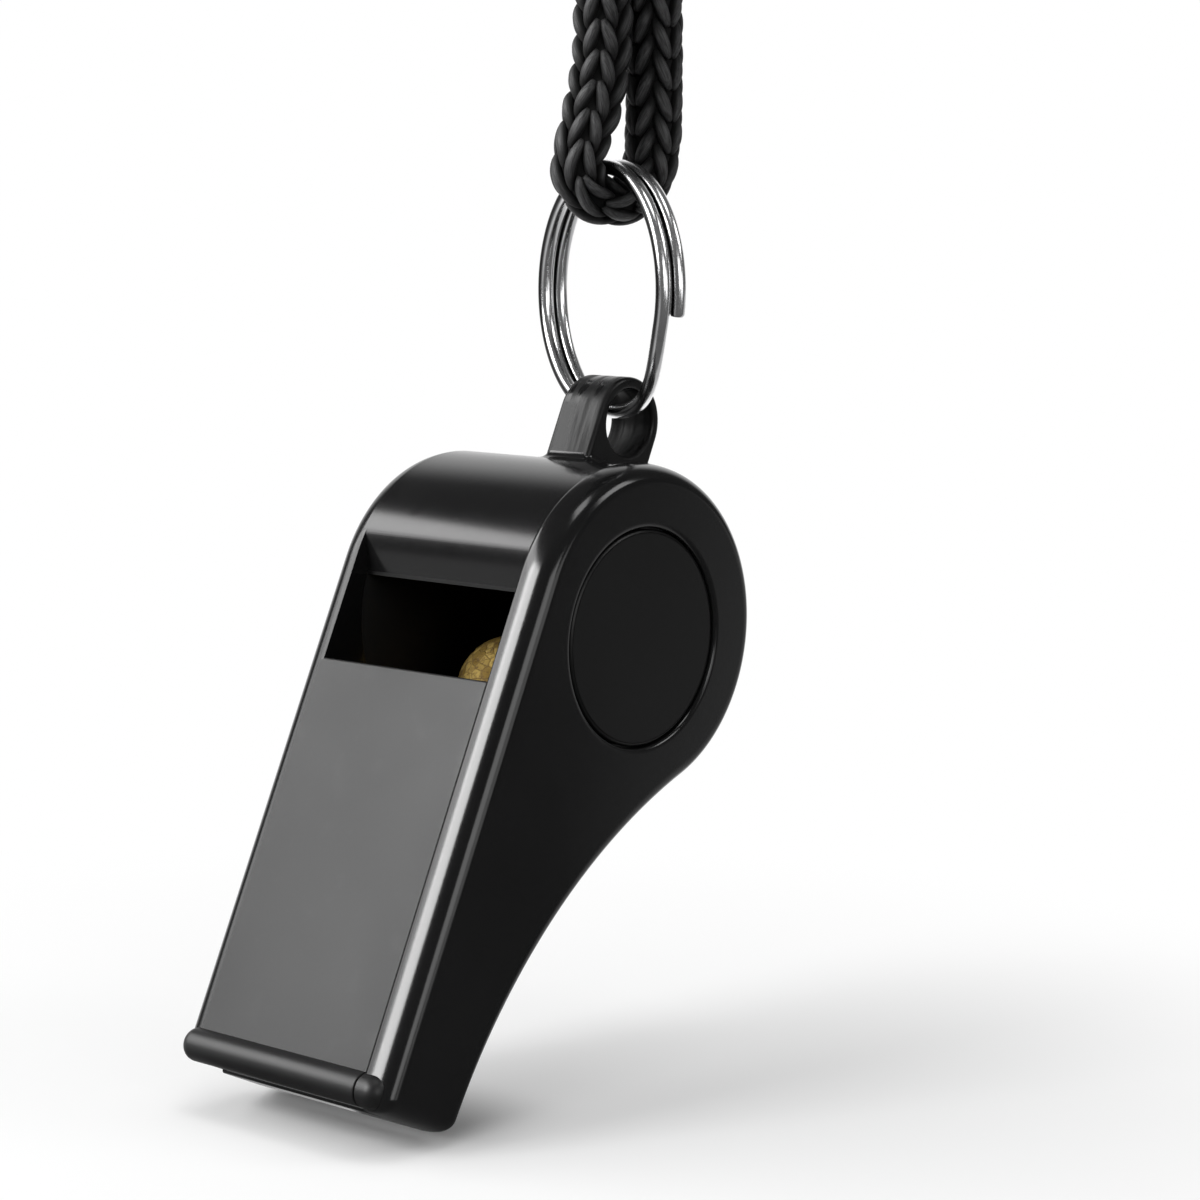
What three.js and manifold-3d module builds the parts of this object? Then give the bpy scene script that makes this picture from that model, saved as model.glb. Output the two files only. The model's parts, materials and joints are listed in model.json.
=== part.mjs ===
// A moulded plastic pea whistle hanging from a split ring on a knitted lanyard.
// Millimetres, +Z up. The origin is at the top of the lanyard's knot, where the whole thing is held.
// The whistle leans in the X-Z plane with its mouthpiece down; its width runs along Y.

import * as THREE from "three";
import { mergeVertices } from "three/addons/utils/BufferGeometryUtils.js";
import Module from "manifold-3d";

const wasm = await Module();
wasm.setup();

// Whistle, seen from the side: x runs from the barrel's axis to the mouth, y out through the top panel
const barrelRadius = 11;
const mouthReach = 34.8;
const mouthUnderside = 3.6;
const undersideFlatPast = 1.5;
const bodyWidth = 18.92;
const barrelWall = 1.5;
const leftWall = 1.76;
const coverThickness = 2.41;
const coverGap = 0.1;
const rimProud = 0.2;
const rimRound = 1;
const cornerRound = 1.2;
const leanDegrees = 25.6;

// Mouthpiece
const windowMouthEnd = 7.2;
const panelThickness = 1.3;
const windwayHeight = 1.6;
const lipRadius = 1.1;
const lipProud = 0.5;

// Sharp edge that splits the air, across the barrel side of the window
const labiumStart = -1.6;
const labiumEdge = 0.85;

// Blank discs let into both sides, a little nearer the mouth and the panel than the barrel's axis
const discRadius = 7.1;
const discAlong = 0.5;
const discOut = 0.35;
const discThickness = 0.7;
const discInset = 0.15;
const discClearance = 0.12;

// Lug for the ring, standing straight back from the barrel
const lugReach = 14.3;
const lugRadius = 3.1;
const lugThickness = 3.8;
const lugOffset = -0.3;
const lugHoleRadius = 2.3;

// Cork pea, loose in the barrel
const peaRadius = 3.9;
const peaClearance = 0.15;
const peaFromLeftWall = 1.1;

// Split ring: one wire wound nearly twice round, with the lug hanging on its lowest stretch
const ringRadius = 8.2;
const wireRadius = 0.5;
const turnPitch = 1.15;
const ringAzimuth = 70;
const ringFreeEnd = -10;
const ringWound = 640;
const ringLean = -1.2;
const crossoverStart = 285;
const crossoverEnd = 345;
const wireBelowHoleTop = 1.58;
const whistleShift = 0.43;

// Lanyard cord, pressed flatter where it turns under the ring
const cordRadius = 1.9;
const pressedHalf = 1.25;
const pressedWide = 2.15;
const pressedTo = 2;
const roundFrom = 4.8;

// Knot: the cord wound round its own two strands, whose cut ends stand out above it
const knotTurns = 3;
const knotPitch = 3.85;
const knotPress = 0.28;
const tuckShare = 0.45;
const cutEndLength = 2.25;
const knotGap = 0.3;

// How finely the round shapes are stepped
const outlineSteps = 30;
const cornerSteps = 4;
const barrelSteps = 48;
const smallSteps = 28;
const peaSteps = 24;
const ringStep = 10;
const tubeSides = 8;
const cordSteps = 54;
const wrapSteps = 16;
const tuckSteps = 4;

const gloss = new THREE.MeshStandardMaterial({ color: 0x121213, roughness: 0.28, metalness: 0 });
const steel = new THREE.MeshStandardMaterial({ color: 0xd9dadc, roughness: 0.12, metalness: 1 });
const cork = new THREE.MeshStandardMaterial({ color: 0xa98348, roughness: 0.85, metalness: 0 });
const yarn = new THREE.MeshStandardMaterial({ color: 0x141414, roughness: 0.9, metalness: 0 });

const { degToRad, lerp, smoothstep } = THREE.MathUtils;

// Planes across the whistle's width: the shown side is at -z, the left side at +z
const rightFace = -bodyWidth / 2;
const leftFace = bodyWidth / 2;
const coverInside = rightFace + coverThickness;
const seam = coverInside + coverGap;
const leftInside = leftFace - leftWall;
const beyond = 1;

// The chamber, and the levels under the panel
const surfaceRadius = barrelRadius - rimProud;
const chamberRadius = surfaceRadius - barrelWall;
const windwayTop = surfaceRadius - panelThickness;
const windwayBottom = windwayTop - windwayHeight;

// The underside's hollow arch: its radius makes it meet the barrel without a kink
const archX = mouthReach + undersideFlatPast;
const archRadius =
  (archX ** 2 + mouthUnderside ** 2 - barrelRadius ** 2) / (2 * (barrelRadius + mouthUnderside));
const archY = mouthUnderside - archRadius;

function toSolid(geometry) {
  const bare = new THREE.BufferGeometry();
  bare.setAttribute("position", geometry.getAttribute("position"));
  bare.setIndex(geometry.index);
  const welded = mergeVertices(bare, 1e-4);
  const mesh = new wasm.Mesh({
    numProp: 3,
    vertProperties: new Float32Array(welded.getAttribute("position").array),
    triVerts: new Uint32Array(welded.index.array),
  });
  return new wasm.Manifold(mesh);
}

function toGeometry(solid) {
  const mesh = solid.getMesh();
  const geometry = new THREE.BufferGeometry();
  geometry.setAttribute("position", new THREE.BufferAttribute(new Float32Array(mesh.vertProperties), 3));
  geometry.setIndex(new THREE.BufferAttribute(new Uint32Array(mesh.triVerts), 1));
  return geometry;
}

// Basic solids in the whistle's own axes, each between two planes across the width
function slab(shape, from, to) {
  const geometry = new THREE.ExtrudeGeometry(shape, {
    depth: to - from,
    bevelEnabled: false,
    curveSegments: outlineSteps,
  });
  geometry.translate(0, 0, from);
  return toSolid(geometry);
}

function box([x0, x1], [y0, y1], from, to) {
  const geometry = new THREE.BoxGeometry(x1 - x0, y1 - y0, to - from);
  geometry.translate((x0 + x1) / 2, (y0 + y1) / 2, (from + to) / 2);
  return toSolid(geometry);
}

function rod(radius, x, y, from, to, steps = smallSteps) {
  const geometry = new THREE.CylinderGeometry(radius, radius, to - from, steps);
  geometry.rotateX(Math.PI / 2);
  geometry.translate(x, y, (from + to) / 2);
  return toSolid(geometry);
}

// The whistle's side outline drawn in by inset: barrel, straight top, mouth, hollow underside.
// The mouth's lower corner is a small round that runs into the arch without a kink.
function outline(inset = 0) {
  const barrel = barrelRadius - inset;
  const arch = archRadius + inset;
  const cornerX = mouthReach - cornerRound;
  const cornerY = archY + Math.sqrt((arch + cornerRound) ** 2 - (cornerX - archX) ** 2);
  const atMouth = Math.atan2(cornerY - archY, cornerX - archX);
  const atBarrel = Math.atan2(-archY, -archX);
  const shape = new THREE.Shape();
  shape.moveTo(0, barrel);
  shape.lineTo(mouthReach, barrel);
  for (let step = 0; step < cornerSteps; step += 1) {
    const angle = ((atMouth - Math.PI) * step) / cornerSteps;
    shape.lineTo(cornerX + cornerRound * Math.cos(angle), cornerY + cornerRound * Math.sin(angle));
  }
  shape.absarc(archX, archY, arch, atMouth, atBarrel, false);
  shape.absarc(0, 0, barrel, atBarrel - Math.PI, -1.5 * Math.PI, true);
  return shape;
}

// A side plate whose outer edge is rounded, standing on the plane inner
function sidePlate(inner, outer) {
  const straight = Math.abs(outer - inner) - rimRound;
  const geometry = new THREE.ExtrudeGeometry(outline(), {
    depth: 2 * straight,
    bevelThickness: rimRound,
    bevelSize: rimRound,
    bevelOffset: -rimRound,
    bevelSegments: 3,
    curveSegments: outlineSteps,
  });
  geometry.translate(0, 0, inner - straight);
  const reach = mouthReach + barrelRadius;
  const behind = outer > inner ? [2 * inner - outer - beyond, inner] : [inner, 2 * inner - outer + beyond];
  return toSolid(geometry).subtract(box([-reach, reach], [-reach, reach], ...behind));
}

// The rounded bar along the outer edge of the mouth
function lip(from, to) {
  return rod(lipRadius, mouthReach - lipRadius, barrelRadius + lipProud - lipRadius, from, to);
}

function discSeat(face, inward) {
  const floor = face + inward * (discInset + discThickness + coverGap);
  const outside = face - inward * beyond;
  const ends = [Math.min(floor, outside), Math.max(floor, outside)];
  return rod(discRadius + discClearance, discAlong, discOut, ...ends, barrelSteps);
}

function blankDisc(face, inward) {
  const outer = face + inward * discInset;
  const inner = outer + inward * discThickness;
  return rod(discRadius, discAlong, discOut, Math.min(inner, outer), Math.max(inner, outer), barrelSteps);
}

// The window in the top, with the sharp edge's ramp on its barrel side
function windowCut() {
  const onSurface = Math.sqrt(surfaceRadius ** 2 - labiumStart ** 2);
  const onChamber = Math.sqrt(chamberRadius ** 2 - labiumEdge ** 2);
  const above = barrelRadius + lipProud + beyond;
  const inside = chamberRadius / 2;
  const shape = new THREE.Shape();
  shape.moveTo(labiumStart, above);
  shape.lineTo(labiumStart, onSurface);
  shape.lineTo(labiumEdge, onChamber);
  shape.lineTo(labiumEdge, inside);
  shape.lineTo(windowMouthEnd, inside);
  shape.lineTo(windowMouthEnd, above);
  return slab(shape, seam - beyond, leftInside);
}

function windway() {
  const along = [windowMouthEnd - barrelWall, mouthReach + beyond];
  return box(along, [windwayBottom, windwayTop], seam - beyond, leftInside);
}

function lug() {
  const root = -(surfaceRadius + chamberRadius) / 2;
  const from = lugOffset - lugThickness / 2;
  const to = lugOffset + lugThickness / 2;
  const shape = new THREE.Shape();
  shape.moveTo(root, -lugRadius);
  shape.lineTo(-lugReach, -lugRadius);
  shape.absarc(-lugReach, 0, lugRadius, -Math.PI / 2, Math.PI / 2, true);
  shape.lineTo(root, lugRadius);
  return slab(shape, from, to).subtract(rod(lugHoleRadius, -lugReach, 0, from - beyond, to + beyond));
}

function bodyShell() {
  return slab(outline(rimProud), seam, leftFace - leftWall / 2)
    .add(sidePlate(leftInside, leftFace))
    .add(lip(seam, leftFace - rimRound / 2))
    .subtract(rod(chamberRadius, 0, 0, seam - beyond, leftInside, barrelSteps))
    .subtract(windway())
    .subtract(windowCut())
    .subtract(discSeat(leftFace, -1))
    .add(lug());
}

function sideCover() {
  return sidePlate(coverInside, rightFace)
    .add(lip(rightFace + rimRound / 2, coverInside))
    .subtract(discSeat(rightFace, 1));
}

function pea() {
  return toSolid(new THREE.SphereGeometry(peaRadius, peaSteps, (peaSteps * 2) / 3));
}

// A closed tube through stations, each with a centre and the two half-widths of its section
function tube(stations) {
  const positions = [];
  const index = [];
  for (const { centre, across, over } of stations) {
    for (let side = 0; side < tubeSides; side++) {
      const angle = (2 * Math.PI * (side + 0.5)) / tubeSides;
      const point = centre.clone();
      point.addScaledVector(across, Math.cos(angle)).addScaledVector(over, Math.sin(angle));
      positions.push(...point.toArray());
    }
  }
  for (let ring = 0; ring + 1 < stations.length; ring++) {
    for (let side = 0; side < tubeSides; side++) {
      const a = ring * tubeSides + side;
      const b = ring * tubeSides + ((side + 1) % tubeSides);
      index.push(a, b, a + tubeSides, b, b + tubeSides, a + tubeSides);
    }
  }
  const last = (stations.length - 1) * tubeSides;
  for (let side = 1; side + 1 < tubeSides; side++) {
    index.push(0, side + 1, side, last, last + side, last + side + 1);
  }
  const geometry = new THREE.BufferGeometry();
  geometry.setAttribute("position", new THREE.Float32BufferAttribute(positions, 3));
  geometry.setIndex(index);
  return toSolid(geometry);
}

// The cord's route in the upright plane square to the ring: sideways, and up from the ring's top.
// It comes down from the knot, turns under the ring and goes up again.
const cordRoute = [
  [-0.5, 13.6],
  [-0.5, 12],
  [-0.51, 10],
  [-0.6, 7.6],
  [-1.02, 5],
  [-1.65, 2.9],
  [-2.2, 1.3],
  [-2.45, 0],
  [-2.15, -1.15],
  [-1.15, -2],
  [0.15, -2.25],
  [1.5, -2],
  [2.6, -1.15],
  [3.05, 0],
  [3.28, 1.5],
  [3.38, 3.2],
  [3.4, 5.2],
  [3.4, 7.6],
  [3.37, 10],
  [3.36, 12],
  [3.36, 13.6],
];
const [leftStrand, knotFoot] = cordRoute[0];
const rightStrand = cordRoute.at(-1)[0];
const knotBottom = knotFoot + knotGap;
const wrapsTop = knotBottom + 2 * cordRadius + knotTurns * knotPitch;
const lanyardDrop = wrapsTop + cutEndLength;

// Directions along the ring's plane, along its axis, and up, and how far the ring leans off upright
const azimuth = degToRad(ringAzimuth);
const ringAlong = new THREE.Vector3(-Math.cos(azimuth), -Math.sin(azimuth), 0);
const ringAxis = new THREE.Vector3(-Math.sin(azimuth), Math.cos(azimuth), 0);
const up = new THREE.Vector3(0, 0, 1);
const leaningUp = up.clone().applyAxisAngle(ringAlong, degToRad(ringLean));
const leaningAxis = ringAxis.clone().applyAxisAngle(ringAlong, degToRad(ringLean));
const ringTop = new THREE.Vector3(0, 0, -lanyardDrop);
const ringCentre = ringTop.clone().addScaledVector(up, -ringRadius);

// The wire starts at its free end on the near side, goes over the top and down through the lug,
// crosses to the other face of the ring on its way up, and goes round once more to the lug.
function splitRing() {
  const stations = [];
  for (let degrees = ringFreeEnd; degrees <= ringFreeEnd + ringWound; degrees += ringStep) {
    const angle = degToRad(degrees);
    const outward = ringAlong.clone().multiplyScalar(Math.cos(angle)).addScaledVector(leaningUp, Math.sin(angle));
    const shift = (smoothstep(degrees, crossoverStart, crossoverEnd) - 0.5) * turnPitch;
    stations.push({
      centre: ringCentre.clone().addScaledVector(outward, ringRadius).addScaledVector(leaningAxis, shift),
      across: outward.clone().multiplyScalar(wireRadius),
      over: leaningAxis.clone().multiplyScalar(-wireRadius),
    });
  }
  return tube(stations);
}

function cordPoint(sideways, height, forward = 0) {
  return ringTop
    .clone()
    .addScaledVector(ringAxis, -sideways)
    .addScaledVector(ringAlong, forward)
    .addScaledVector(up, height);
}

function lanyardCord() {
  const curve = new THREE.CatmullRomCurve3(cordRoute.map((point) => cordPoint(...point)));
  const stations = [];
  for (let step = 0; step <= cordSteps; step++) {
    const centre = curve.getPointAt(step / cordSteps);
    const tangent = curve.getTangentAt(step / cordSteps);
    const rounded = smoothstep(centre.distanceTo(ringTop), pressedTo, roundFrom);
    stations.push({
      centre,
      across: ringAlong.clone().cross(tangent).multiplyScalar(lerp(pressedHalf, cordRadius, rounded)),
      over: ringAlong.clone().multiplyScalar(lerp(pressedWide, cordRadius, rounded)),
    });
  }
  return tube(stations);
}

function knotStrand(sideways) {
  const stations = [knotBottom, lanyardDrop].map((height) => ({
    centre: cordPoint(sideways, height),
    across: ringAxis.clone().multiplyScalar(-cordRadius),
    over: ringAlong.clone().multiplyScalar(-cordRadius),
  }));
  return tube(stations);
}

// The wraps go round both strands; their first and last stretches tuck in between them
function knotWraps() {
  const middle = (leftStrand + rightStrand) / 2;
  const halfDepth = 2 * cordRadius - knotPress;
  const halfWidth = halfDepth + (rightStrand - leftStrand) / 2;
  const steps = knotTurns * wrapSteps;
  const stations = [];
  for (let step = 0; step <= steps; step++) {
    const angle = (2 * Math.PI * step) / wrapSteps;
    const tucked = 1 - smoothstep(step, 0, tuckSteps) + smoothstep(step, steps - tuckSteps, steps);
    const spread = 1 - tuckShare * tucked;
    const height = knotBottom + cordRadius + (knotPitch * step) / wrapSteps;
    const outward = ringAxis
      .clone()
      .multiplyScalar(-Math.cos(angle) * halfDepth)
      .addScaledVector(ringAlong, Math.sin(angle) * halfWidth)
      .normalize();
    stations.push({
      centre: cordPoint(
        middle + Math.cos(angle) * halfWidth * spread,
        height,
        Math.sin(angle) * halfDepth * spread
      ),
      across: outward.multiplyScalar(cordRadius),
      over: up.clone().multiplyScalar(cordRadius),
    });
  }
  return tube(stations);
}

function lanyardKnot() {
  return knotStrand(leftStrand).add(knotStrand(rightStrand)).add(knotWraps());
}

function addPiece(parent, name, solid, material) {
  const mesh = new THREE.Mesh(toGeometry(solid), material);
  mesh.name = name;
  parent.add(mesh);
  return mesh;
}

// The whistle's group has its origin on the barrel's axis, halfway across the width
function whistleGroup() {
  const lean = degToRad(leanDegrees);
  const toMouth = new THREE.Vector3(-Math.sin(lean), 0, -Math.cos(lean));
  const outOfPanel = new THREE.Vector3(-Math.cos(lean), 0, Math.sin(lean));
  const across = new THREE.Vector3(0, 1, 0);
  const holeCentre = ringCentre
    .clone()
    .addScaledVector(up, wireBelowHoleTop - lugHoleRadius - ringRadius)
    .addScaledVector(ringAlong, -whistleShift);
  const group = new THREE.Group();
  group.quaternion.setFromRotationMatrix(new THREE.Matrix4().makeBasis(toMouth, outOfPanel, across));
  group.position.copy(holeCentre).addScaledVector(toMouth, lugReach).addScaledVector(across, -lugOffset);

  addPiece(group, "body_shell", bodyShell(), gloss);
  addPiece(group, "side_cover", sideCover(), gloss);
  addPiece(group, "blank_disc_right", blankDisc(rightFace, 1), gloss);
  addPiece(group, "blank_disc_left", blankDisc(leftFace, -1), gloss);

  // The pea lies at the lowest place in the leaning barrel
  const orbit = chamberRadius - peaRadius - peaClearance;
  const peaAcross = leftInside - peaFromLeftWall - peaRadius;
  const peaPiece = addPiece(group, "pea", pea(), cork);
  peaPiece.position.set(orbit * Math.cos(lean), -orbit * Math.sin(lean), peaAcross);
  return group;
}

const assembly = new THREE.Group();
assembly.add(whistleGroup());
addPiece(assembly, "split_ring", splitRing(), steel);
addPiece(assembly, "lanyard_cord", lanyardCord(), yarn);
addPiece(assembly, "lanyard_knot", lanyardKnot(), yarn);

export default assembly;
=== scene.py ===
"""A black moulded pea whistle hanging from a split ring and a knitted lanyard.

The whistle is drawn in its own axes, in millimetres: x from the barrel's axis to the mouth, y out
through the top panel, z across the width, with the shown side at negative z. Each mesh is then
placed in the part's frame, in metres.
"""
import json
import math

import bmesh
import bpy
from mathutils import Matrix, Vector, noise


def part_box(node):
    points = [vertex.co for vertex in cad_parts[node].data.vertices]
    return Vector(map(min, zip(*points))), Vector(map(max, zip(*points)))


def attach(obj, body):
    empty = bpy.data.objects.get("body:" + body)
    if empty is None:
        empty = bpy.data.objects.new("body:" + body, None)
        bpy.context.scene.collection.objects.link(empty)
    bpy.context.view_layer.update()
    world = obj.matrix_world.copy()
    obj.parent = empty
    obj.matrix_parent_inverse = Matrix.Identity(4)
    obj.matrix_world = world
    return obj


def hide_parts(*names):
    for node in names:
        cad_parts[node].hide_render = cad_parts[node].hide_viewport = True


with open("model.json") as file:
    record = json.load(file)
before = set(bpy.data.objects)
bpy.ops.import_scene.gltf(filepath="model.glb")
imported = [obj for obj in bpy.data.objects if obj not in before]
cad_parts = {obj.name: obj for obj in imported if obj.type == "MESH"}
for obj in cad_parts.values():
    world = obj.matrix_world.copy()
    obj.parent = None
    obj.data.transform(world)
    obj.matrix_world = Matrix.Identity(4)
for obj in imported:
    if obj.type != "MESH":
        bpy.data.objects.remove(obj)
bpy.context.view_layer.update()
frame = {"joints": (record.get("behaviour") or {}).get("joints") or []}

MM = 0.001

# Places and directions that the frame gives
JOINTS = {joint["name"]: joint for joint in frame["joints"]}
BARREL = Vector(JOINTS["pea_orbit"]["pos_m"])
LUG_HOLE = Vector(JOINTS["whistle_swing"]["pos_m"])
RING_TOP = Vector(JOINTS["ring_swing"]["pos_m"])
RING_ALONG = -Vector(JOINTS["ring_swing"]["axis"]).normalized()
UP = Vector((0, 0, 1))
RING_AXIS = RING_ALONG.cross(UP).normalized()
ACROSS = Vector((0, 1, 0))

# Sizes, as in the CAD model
BARREL_RADIUS = 11
MOUTH_REACH = 34.8
MOUTH_UNDERSIDE = 3.6
UNDERSIDE_FLAT_PAST = 1.5
BARREL_WALL = 1.5
LEFT_WALL = 1.76
RIM_PROUD = 0.2
WINDOW_MOUTH_END = 7.2
PANEL_THICKNESS = 1.3
WINDWAY_HEIGHT = 1.6
LIP_RADIUS = 1.1
LIP_PROUD = 0.5
LABIUM_START = -1.6
LABIUM_EDGE = 0.85
DISC_RADIUS = 7.1
DISC_PLACE = (0.5, 0.35)
DISC_THICKNESS = 0.7
DISC_INSET = 0.15
DISC_CLEARANCE = 0.12
SEAT_GAP = 0.1
LUG_RADIUS = 3.1
LUG_THICKNESS = 3.8
LUG_HOLE_RADIUS = 2.3
RING_RADIUS = 8.2
WIRE_RADIUS = 0.5
TURN_PITCH = 1.15
RING_FREE_END = -10
RING_WOUND = 640
RING_LEAN = math.radians(-1.2)
CROSSOVER = (285, 345)
CORD_RADIUS = 1.9

# Where the finished surface stands otherwise than the CAD model: how far behind the mouth's end the
# lip bar starts, the lug's place across the width, how far the panel and barrel run into the left
# wall, and how far past the ramp's top the barrel's round starts, in radians
LIP_BACK = 0.15
LUG_MIDDLE = -0.5
WALL_OVERLAP = 0.3
RAMP_TURN = 0.02

# Roundings of the finished surface
RIM_ROUND = 1.15
RIM_WIDE = 1.6
DOME_RADIUS = 6.2
DOME_END = math.radians(15)
SEAM_ROUND = 0.25
FLUSH_SEAM_ROUND = 0.02
MOUTH_TIGHTEST = 0.2
MOUTH_LOW_ROUND = 1.2
FLOOR_LOW_ROUND = 0.5
WINDWAY_ROUND = 0.2
PANEL_ROUND = 0.18
SEAT_ROUND = 0.3
DISC_ROUND = 0.25
DISC_BACK_BEVEL = 0.1
LUG_ROUND = 0.32
HOLE_ROUND = 0.25
FOOT_ROUND = 0.55
FOOT_CORNER = 0.45
FOOT_SUNK = 0.3
LIP_DOME = 0.85
LIP_SEAM_BEVEL = 0.05

# How long the mouth bar's rounded tip is, and how far inside the side's face it stops
LEFT_TIP = (0.85, 0.45)
RIGHT_TIP = (1.0, 0.7)

# How far a row of corners stands from a rounding, so that the flat beside it shades flat
STRAIGHT_SUPPORT = 0.08
RIM_SUPPORT = 0.12
SEAT_SUPPORT = 0.1
LUG_SUPPORT = 0.1
HOLE_SUPPORT = 0.06
LIP_SUPPORT = 0.1

# How many faces go round each curve
CIRCLE_STEPS = 120
CHAMBER_STEPS = 110
LUG_STEPS = 96
ARCH_STEPS = 48
LIP_STEPS = 48
RIM_STEPS = 14
MOUTH_STEPS = 10
FOOT_STEPS = 8
EDGE_STEPS = 6
SMALL_STEPS = 5
TINY_STEPS = 4

SURFACE_RADIUS = BARREL_RADIUS - RIM_PROUD
CHAMBER_RADIUS = SURFACE_RADIUS - BARREL_WALL
WINDWAY_TOP = SURFACE_RADIUS - PANEL_THICKNESS
WINDWAY_BOTTOM = WINDWAY_TOP - WINDWAY_HEIGHT
ARCH_X = MOUTH_REACH + UNDERSIDE_FLAT_PAST
ARCH_RADIUS = (ARCH_X ** 2 + MOUTH_UNDERSIDE ** 2 - BARREL_RADIUS ** 2) / (
    2 * (BARREL_RADIUS + MOUTH_UNDERSIDE)
)
ARCH_Y = MOUTH_UNDERSIDE - ARCH_RADIUS
ARCH_MEETS_BARREL = math.atan2(-ARCH_Y, -ARCH_X)


def whistle_matrix():
    """The whistle's own axes, in millimetres, to the part's frame, in metres."""
    to_mouth = BARREL - LUG_HOLE
    to_mouth.y = 0
    to_mouth.normalize()
    out_of_panel = ACROSS.cross(to_mouth)
    turn = Matrix((to_mouth, out_of_panel, ACROSS)).transposed().to_4x4()
    return Matrix.Translation(BARREL) @ turn @ Matrix.Scale(MM, 4)


WHISTLE = whistle_matrix()
LUG_REACH = (WHISTLE.inverted() @ LUG_HOLE).x


def width_planes(node):
    """The lowest and highest plane of a node across the whistle's width."""
    low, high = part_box(node)
    return (low[1] - BARREL.y) / MM, (high[1] - BARREL.y) / MM


RIGHT_FACE, COVER_INSIDE = width_planes("side_cover")
SEAM, LEFT_FACE = width_planes("body_shell")
LEFT_INSIDE = LEFT_FACE - LEFT_WALL


# Camera

CAMERA_FROM_BARREL = Vector((-156.32, -142.13, 31.08)) * MM
CAMERA_FORWARD = Vector((0.74465, 0.65269, -0.13965))
LENS = 95.59
SENSOR = 36
NEAREST_SEEN = 0.005


def add_camera():
    data = bpy.data.cameras.new("photo_camera")
    data.lens = LENS
    data.sensor_width = SENSOR
    data.clip_start = NEAREST_SEEN
    camera = bpy.data.objects.new("photo_camera", data)
    camera.location = BARREL + CAMERA_FROM_BARREL
    camera.rotation_euler = CAMERA_FORWARD.to_track_quat("-Z", "Y").to_euler()
    bpy.context.scene.collection.objects.link(camera)
    bpy.context.scene.camera = camera


# Mesh helpers

def new_object(name, mesh, material=None):
    piece = bpy.data.objects.new(name, mesh)
    bpy.context.scene.collection.objects.link(piece)
    if material:
        mesh.materials.append(material)
    return piece


class Solid:
    """Closed shells gathered in one mesh, in the axes that placing turns into the part's frame."""

    def __init__(self, placing):
        self.placing = placing
        self.bm = bmesh.new()
        self.slot = 0

    def face(self, corners):
        face = self.bm.faces.new(corners)
        face.material_index = self.slot
        face.smooth = True

    def loop(self, places):
        return [self.bm.verts.new(place) for place in places]

    def skin(self, loops, closed=False):
        """Quads between each loop and the next, and from the last to the first where closed."""
        pairs = list(zip(loops, loops[1:]))
        if closed:
            pairs.append((loops[-1], loops[0]))
        for near, far in pairs:
            count = len(near)
            for i in range(count):
                j = (i + 1) % count
                self.face((near[i], near[j], far[j], far[i]))

    def cap(self, *loops):
        """A flat face over one outer loop, with a hole for each further loop."""
        edges = []
        for loop in loops:
            for i, corner in enumerate(loop):
                after = loop[(i + 1) % len(loop)]
                edge = self.bm.edges.get((corner, after)) or self.bm.edges.new((corner, after))
                edges.append(edge)
        made = bmesh.ops.triangle_fill(self.bm, edges=edges, use_beauty=True)
        for item in made["geom"]:
            if isinstance(item, bmesh.types.BMFace):
                item.material_index = self.slot
                item.smooth = True

    def tube(self, loops):
        """A skin over the loops, with a flat face at each end."""
        self.skin(loops)
        self.cap(loops[0])
        self.cap(loops[-1])

    def make(self, name, materials, sharp=32):
        """The object, with edges that turn by more than sharp degrees left sharp."""
        bmesh.ops.recalc_face_normals(self.bm, faces=self.bm.faces)
        mesh = bpy.data.meshes.new(name)
        self.bm.to_mesh(mesh)
        self.bm.free()
        mesh.transform(self.placing)
        mesh.set_sharp_from_angle(angle=math.radians(sharp))
        piece = new_object(name, mesh)
        for material in materials:
            mesh.materials.append(material)
        return piece


def arc(centre, radius, start, end, steps):
    """Points along an arc in the x-y plane, from angle start to angle end in radians."""
    places = []
    for i in range(steps + 1):
        angle = start + (end - start) * i / steps
        places.append((centre[0] + radius * math.cos(angle), centre[1] + radius * math.sin(angle)))
    return places


def straight(start, end):
    """A straight stretch with a point close to each end, which keeps its shading flat."""
    start, end = Vector(start), Vector(end)
    along = (end - start).normalized()
    return [tuple(start + along * STRAIGHT_SUPPORT), tuple(end - along * STRAIGHT_SUPPORT)]


def circle(radius, centre):
    return arc(centre, radius, math.pi / 2, math.pi / 2 - 2 * math.pi, CIRCLE_STEPS)[:-1]


def rounding(radius, steps):
    """Pairs (drawn in, risen) round a quarter of a circle, from the flank to the face."""
    pairs = []
    for i in range(steps + 1):
        angle = math.pi / 2 * i / steps
        pairs.append((radius * (1 - math.cos(angle)), radius * math.sin(angle)))
    return pairs


def at_depth(places, z):
    return [Vector((x, y, z)) for x, y in places]


def heading(start, end):
    """1 where end lies past start across the width, and -1 where it lies before it."""
    return 1 if end > start else -1


def smooth(share):
    """0 below 0 and 1 above 1, with a soft start and end between them."""
    share = min(max(share, 0), 1)
    return share * share * (3 - 2 * share)


# Whistle's sides

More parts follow.
